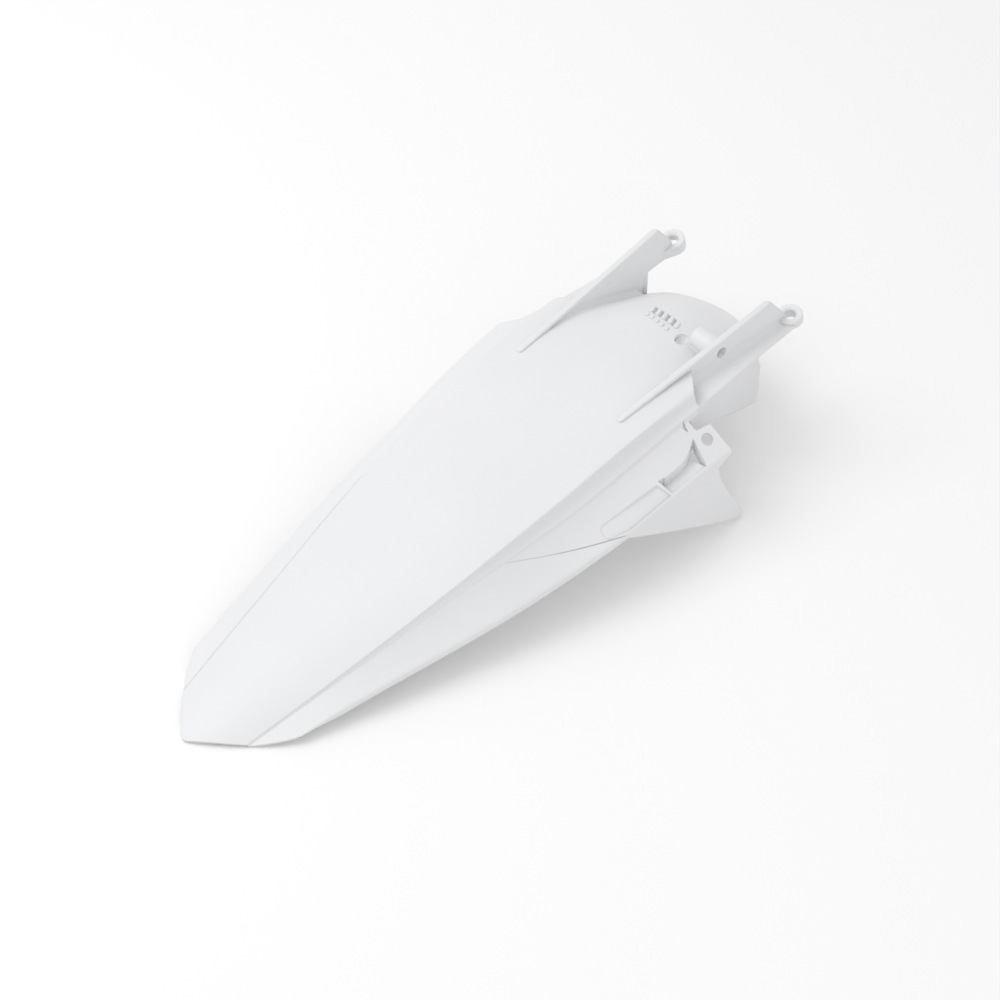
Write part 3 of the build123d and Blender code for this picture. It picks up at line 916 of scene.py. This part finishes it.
# Thin grooves: the overlap line on the right flank and the crease on the left tail ridge
grooveSizes = {"width": 1.1, "depth": 0.9, "lap": 0.02, "clear": 4.0, "rows": 60, "least": 0.25,
               "line": [(324.0, 93.0), (441.0, 143.5)], "lineGrows": 1.6,
               "crease": (30.0, 320.0), "creaseInset": 0.4, "creaseFades": 4.0}


def flankPlace(x, half):
    foot = ledgePoints(x)[2]
    shoulderHalf, shoulderZ = sectionCurve(x)[6:8]
    share = (half - foot[0]) / (shoulderHalf - foot[0])
    steep = math.hypot(1, (foot[1] - shoulderZ) / (shoulderHalf - foot[0]))
    lower = flankSag(x) * 4 * max(0.0, share * (1 - share)) * steep
    return np.array([x, -half, foot[1] + share * (shoulderZ - foot[1]) - lower])


def planeThrough(a, b, c):
    normal = np.cross(b - a, c - a)
    normal = normal / np.linalg.norm(normal)
    return a, normal if normal[2] > 0 else -normal


def flankPlane(*places):
    return planeThrough(*(flankPlace(*p) for p in places))


def flankPrism(name, outline, plane, low, high, rise=0.0):
    spot, normal = plane
    levelHalf = flankSizes["pocket"][1][1]
    points = []
    for x, half in outline:
        z = spot[2] - ((x - spot[0]) * normal[0] + (-half - spot[1]) * normal[1]) / normal[2]
        points.append((x, -half, z + (low + rise * (half - levelHalf)) / normal[2]))
    return platePiece(name, points, (0, 0, (high - low) / normal[2]))


def grow(outline, reach):
    points = np.asarray(outline, float)
    middle = points.mean(axis=0)
    out = []
    for i, point in enumerate(points):
        ways = []
        for edge in (points[i - 1] - point, points[(i + 1) % len(points)] - point):
            normal = np.array([edge[1], -edge[0]]) / np.linalg.norm(edge)
            ways.append(normal if np.dot(normal, point + edge / 2 - middle) > 0 else -normal)
        out.append(point + reach * (ways[0] + ways[1]) / (1 + np.dot(ways[0], ways[1])))
    return out


def cutFlank(shell):
    pocket = flankSizes["pocket"]
    plane = flankPlane(pocket[0], pocket[2], pocket[-1])
    deep, wall = flankSizes["pocketDepth"], flankSizes["pocketWall"]
    backing = flankPrism("pocketWall", grow(pocket, wall), plane, -deep - wall, flankSizes["wallTop"])
    combine(shell, backing, "UNION")
    outline = roundedOutline(pocket, flankSizes["pocketCorners"], 6)
    hollow = flankPrism("pocketHollow", outline, plane, -deep, flankSizes["pocketClear"],
                        flankSizes["pocketRise"])
    combine(shell, hollow, "DIFFERENCE")
    for outline in flankSizes["gaps"]:
        gap = flankPrism("gap", outline, plane, -deep - 3 * wall, flankSizes["gapClear"])
        combine(shell, gap, "DIFFERENCE")
    ramp = flankSizes["ramp"]
    shallow, steep = flankSizes["rampDepth"]
    normal = flankPlane(ramp[0], ramp[2], ramp[-1])[1]
    rampPlane = planeThrough(*(flankPlace(*ramp[i]) - normal * depth
                               for i, depth in ((0, shallow), (2, steep), (-1, shallow))))
    outline = roundedOutline(ramp, flankSizes["rampCorners"], 5)
    combine(shell, flankPrism("ramp", outline, rampPlane, 0.0, flankSizes["rampClear"]), "DIFFERENCE")
    outline = roundedOutline(flankSizes["notch"], flankSizes["notchCorners"], 5)
    combine(shell, flankPrism("notch", outline, plane, *flankSizes["notchSpan"]), "DIFFERENCE")
    normal = flankPlane(*flankSizes["tab"])[1]
    hole = drill("tabDrill", flankPlace(*flankSizes["hole"]), normal, flankSizes["holeRadius"],
                 flankSizes["holeDrill"])
    combine(shell, hole, "DIFFERENCE")


def cutGroove(shell, name, spots, acrosses, shares):
    lap, clear = grooveSizes["lap"], grooveSizes["clear"]
    rings = []
    for i, (spot, across, share) in enumerate(zip(spots, acrosses, shares)):
        along = spots[min(i + 1, len(spots) - 1)] - spots[max(i - 1, 0)]
        up = np.cross(across, along)
        up = up / np.linalg.norm(up) * (1 if up[2] > 0 else -1)
        aside = np.cross(up, along / np.linalg.norm(along))
        wide, deep = grooveSizes["width"] * share / 2, grooveSizes["depth"] * share
        rings.append([spot + aside * wide - up * lap, spot + aside * wide + up * clear,
                      spot - aside * wide + up * clear, spot - aside * wide - up * lap, spot - up * deep])
    combine(shell, tubePiece(name, rings), "DIFFERENCE")


def cutLines(shell):
    shares = np.linspace(0, 1, grooveSizes["rows"])
    least = grooveSizes["least"]
    start, end = (np.array(p) for p in grooveSizes["line"])
    line = [start + (end - start) * t for t in shares]
    cutGroove(shell, "overlapLine", [flankPlace(*p) for p in line],
              [flankPlace(x, half + 1) - flankPlace(x, half) for x, half in line],
              np.minimum(1.0, least + grooveSizes["lineGrows"] * shares))
    spots, acrosses = [], []
    for x in np.linspace(*grooveSizes["crease"], grooveSizes["rows"]):
        half = sectionCurve(x)[0] - grooveSizes["creaseInset"]
        spots.append(np.array([x, half, topHeight(x, half)]))
        acrosses.append(np.array([0, 1, topHeight(x, half) - topHeight(x, half - 1)]))
    cutGroove(shell, "leftCrease", spots, acrosses,
              np.clip(grooveSizes["creaseFades"] * (1 - shares), least, 1.0))


arms = [makeArm(right), makeArm(left)]
fender = shell
cutFlank(fender)
cutLines(fender)
print("flank cut", len(fender.data.polygons))
for part in arms + [makeBoss()]:
    combine(fender, part, "UNION")
print("arms and boss joined", len(fender.data.polygons))
cutHood(fender)
cutBoss(fender)
fender.name = "rearFender"
print("fender", len(fender.data.polygons))

# White moulded plastic: fine grain, faint tone and gloss variation, softened edges, and painted shade that
# darkens the creases by ambient occlusion
plasticLook = {
    "pale": (0.885, 0.89, 0.9, 1),
    "shade": (0.86, 0.867, 0.88, 1),
    # painted shade: the darker colour that occluded creases and recesses are mixed towards
    "crease": (0.77, 0.778, 0.79, 1),
    "creaseReach": 0.012,
    "creaseSpan": (0.35, 0.9),
    "rough": (0.36, 0.5),
    "refraction": 1.49,
    "edge": 0.0007,
    "bump": (0.12, 0.0002),
    "scales": {"Grain Scale": 1500.0, "Tone Scale": 7.0, "Flow Scale": 26.0},
    "flowStretch": (0.35, 1.0, 1.0),  # melt flow runs along the part
    "flowShare": 0.45,
    "toneSpan": (0.5, 0.95),
    "smoothAngle": 35,
    "floorGap": 0.0001,
}


def addNode(tree, kind, spot, inputs=None, **values):
    node = tree.nodes.new(kind)
    node.location = spot
    for key, value in values.items():
        setattr(node, key, value)
    for key, value in (inputs or {}).items():
        node.inputs[key].default_value = value
    return node


def wire(tree, *links):
    for source, output, target, socket in links:
        tree.links.new(source.outputs[output], target.inputs[socket])


def addRange(tree, spot, end, low, high):
    return addNode(tree, "ShaderNodeMapRange", spot, {end + " Min": low, end + " Max": high})


def makeSkinGroup():
    group = bpy.data.node_groups.new("mouldedSkin", "ShaderNodeTree")
    group.interface.new_socket(name="Place", in_out="INPUT", socket_type="NodeSocketVector")
    for label, value in plasticLook["scales"].items():
        socket = group.interface.new_socket(name=label, in_out="INPUT", socket_type="NodeSocketFloat")
        socket.default_value = value
    for label in ("Tone", "Gloss", "Grain"):
        group.interface.new_socket(name=label, in_out="OUTPUT", socket_type="NodeSocketFloat")
    start = addNode(group, "NodeGroupInput", (-900, 0))
    end = addNode(group, "NodeGroupOutput", (500, 0))
    grain = addNode(group, "ShaderNodeTexNoise", (-500, -250), {"Detail": 3.0, "Roughness": 0.6})
    tone = addNode(group, "ShaderNodeTexNoise", (-500, 250), {"Detail": 2.0, "Roughness": 0.45})
    stretch = addNode(group, "ShaderNodeMapping", (-720, 0), {"Scale": plasticLook["flowStretch"]})
    flow = addNode(group, "ShaderNodeTexNoise", (-500, 0), {"Detail": 4.0, "Roughness": 0.55})
    blend = addNode(group, "ShaderNodeMath", (-200, 150), {1: plasticLook["flowShare"]},
                    operation="MULTIPLY_ADD")
    contrast = addRange(group, (60, 220), "From", *plasticLook["toneSpan"])
    wire(group, (start, "Place", grain, "Vector"), (start, "Place", tone, "Vector"),
         (start, "Place", stretch, "Vector"), (stretch, "Vector", flow, "Vector"),
         (start, "Grain Scale", grain, "Scale"), (start, "Tone Scale", tone, "Scale"),
         (start, "Flow Scale", flow, "Scale"), (flow, "Fac", blend, 0), (tone, "Fac", blend, 2),
         (blend, "Value", contrast, "Value"), (contrast, "Result", end, "Tone"),
         (flow, "Fac", end, "Gloss"), (grain, "Fac", end, "Grain"))
    return group


def makePlastic():
    plastic = bpy.data.materials.new("whitePlastic")
    plastic.use_nodes = True
    tree = plastic.node_tree
    shader = tree.nodes["Principled BSDF"]
    shader.inputs["IOR"].default_value = plasticLook["refraction"]
    place = addNode(tree, "ShaderNodeTexCoord", (-1000, 0))
    skin = addNode(tree, "ShaderNodeGroup", (-760, 0), plasticLook["scales"], node_tree=makeSkinGroup())
    colour = addNode(tree, "ShaderNodeMix", (-480, 150),
                     {"A": plasticLook["shade"], "B": plasticLook["pale"]}, data_type="RGBA")
    rough = addRange(tree, (-480, -100), "To", *plasticLook["rough"])
    edge = addNode(tree, "ShaderNodeBevel", (-480, -420), {"Radius": plasticLook["edge"]}, samples=6)
    strength, distance = plasticLook["bump"]
    bump = addNode(tree, "ShaderNodeBump", (-240, -300), {"Strength": strength, "Distance": distance})
    # Painted shade: an ambient occlusion mask darkens the base colour in creases and recesses, where shade
    # falls
    nook = addNode(tree, "ShaderNodeAmbientOcclusion", (-760, 420),
                   {"Distance": plasticLook["creaseReach"]}, samples=6)
    depth = addRange(tree, (-560, 420), "From", *plasticLook["creaseSpan"])
    creaseShade = addNode(tree, "ShaderNodeMix", (-240, 250), {"A": plasticLook["crease"]}, data_type="RGBA")
    wire(tree, (place, "Object", skin, "Place"), (skin, "Tone", colour, "Factor"),
         (skin, "Gloss", rough, "Value"), (skin, "Grain", bump, "Height"),
         (edge, "Normal", bump, "Normal"), (nook, "AO", depth, "Value"),
         (depth, "Result", creaseShade, "Factor"), (colour, "Result", creaseShade, "B"),
         (creaseShade, "Result", shader, "Base Color"), (rough, "Result", shader, "Roughness"),
         (bump, "Normal", shader, "Normal"))
    return plastic


fender.data.materials.clear()
fender.data.materials.append(makePlastic())
for v in fender.data.vertices:
    v.co.z = max(v.co.z, plasticLook["floorGap"])  # the tail and wing tips rest on the floor
makeActive(fender)
bpy.ops.object.shade_smooth_by_angle(angle=math.radians(plasticLook["smoothAngle"]))
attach(fender, "root")
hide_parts("rear_fender")
print("plastic on")

# Floor, light and camera, in metres
stageSizes = {
    "floor": 14.0,
    # levels for light that bounces, and for what the camera or a reflection sees
    "floorTone": (0.93, 0.9),
    "floorGlow": (0.0, 0.15),
    "sky": (0.7, 1.0),
    # name, place, size, power
    "lamps": [
        ("topLamp", (-0.8, 1.0, 2.1), 1.8, 17.0),
        ("fillLamp", (-0.7, -1.9, 0.9), 1.4, 2.2),
    ],
    "aim": (0.05, 0, 0.05),
    "camera": (-1.23777, -1.33344, 1.88364),
    "look": (0.48696, 0.51126, -0.70815),
    "lens": 95.4,
    "sensor": 36,
}


def grey(level):
    return (level, level, level, 1)


def seenRays(tree):
    path = addNode(tree, "ShaderNodeLightPath", (-700, 0))
    seen = addNode(tree, "ShaderNodeMath", (-500, 0), operation="MAXIMUM")
    wire(tree, (path, "Is Camera Ray", seen, 0), (path, "Is Glossy Ray", seen, 1))
    return seen


def makeFloor():
    deselectAll()
    bpy.ops.mesh.primitive_plane_add(size=stageSizes["floor"], location=(0, 0, 0))
    floor = newPiece("floor")
    paint = bpy.data.materials.new("paleFloor")
    paint.use_nodes = True
    tree = paint.node_tree
    shader = tree.nodes["Principled BSDF"]
    for label, value in (("Roughness", 1.0), ("Specular IOR Level", 0.0), ("Emission Strength", 1.0)):
        shader.inputs[label].default_value = value
    seen = seenRays(tree)
    for socket, levels, low in (("Base Color", "floorTone", 0), ("Emission Color", "floorGlow", -250)):
        plain, shown = (grey(level) for level in stageSizes[levels])
        mix = addNode(tree, "ShaderNodeMix", (-300, low), {"A": plain, "B": shown}, data_type="RGBA")
        wire(tree, (seen, "Value", mix, "Factor"), (mix, "Result", shader, socket))
    floor.data.materials.append(paint)


def addLamp(name, spot, size, power):
    deselectAll()
    bpy.ops.object.light_add(type="AREA", location=spot)
    lamp = newPiece(name)
    lamp.data.shape = "DISK"
    lamp.data.size = size
    lamp.data.energy = power
    way = Vector(stageSizes["aim"]) - Vector(spot)
    lamp.rotation_euler = way.to_track_quat("-Z", "Y").to_euler()


def makeSky():
    world = bpy.data.worlds.new("studio")
    bpy.context.scene.world = world
    world.use_nodes = True
    tree = world.node_tree
    background = tree.nodes["Background"]
    background.inputs["Color"].default_value = grey(1)
    level = addRange(tree, (-300, 0), "To", *stageSizes["sky"])
    wire(tree, (seenRays(tree), "Value", level, "Value"), (level, "Result", background, "Strength"))


def makeCamera():
    deselectAll()
    bpy.ops.object.camera_add(location=stageSizes["camera"])
    camera = bpy.context.object
    camera.rotation_euler = Vector(stageSizes["look"]).to_track_quat("-Z", "Y").to_euler()
    camera.data.lens = stageSizes["lens"]
    camera.data.sensor_width = stageSizes["sensor"]
    bpy.context.scene.camera = camera


makeFloor()
for lamp in stageSizes["lamps"]:
    addLamp(*lamp)
makeSky()
makeCamera()
bpy.context.scene.view_settings.view_transform = "Standard"
print("stage and camera set")
